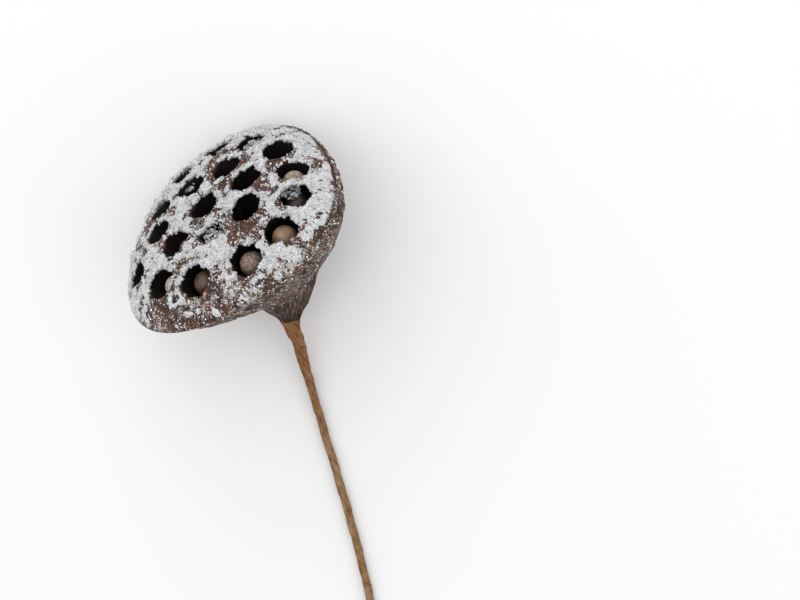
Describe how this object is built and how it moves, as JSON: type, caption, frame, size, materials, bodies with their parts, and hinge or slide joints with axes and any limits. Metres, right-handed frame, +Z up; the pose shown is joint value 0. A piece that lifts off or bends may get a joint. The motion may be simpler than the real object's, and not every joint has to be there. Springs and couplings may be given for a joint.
{
  "type": "dried lotus seed pod on a wrapped stem",
  "caption": "Dried lotus seed pod with open chambers and loose seeds on a thin paper-wrapped wire stem, dusted with white snow and glitter, lying on its side.",
  "frame": {"origin": "on the surface that it lies on, under the middle of the whole object", "axes": "+Z up from the surface, +Y along the stem from its cut end to the pod, +X to the side that the domed face turns away from"},
  "size_m": [0.0768, 0.3084, 0.0662],
  "materials": {
    "dried_pod": "dry, wrinkled and matt, flocked with white snow and glitter",
    "seed_coat": "smooth hard shell with a dull sheen",
    "paper_tape": "crinkled ochre paper tape, wound at a slant",
    "stem_steel": "plain drawn wire"
  },
  "bodies": {
    "root": {"pod": "dried_pod", "seed_04": "seed_coat", "seed_05": "seed_coat", "seed_09": "seed_coat", "seed_10": "seed_coat", "seed_11": "seed_coat", "seed_12": "seed_coat", "seed_13": "seed_coat", "seed_14": "seed_coat", "seed_15": "seed_coat", "seed_16": "seed_coat", "seed_17": "seed_coat", "seed_18": "seed_coat", "seed_19": "seed_coat", "seed_20": "seed_coat", "stem_wrap": "paper_tape", "stem_wire": "stem_steel"}
  },
  "joints": []
}
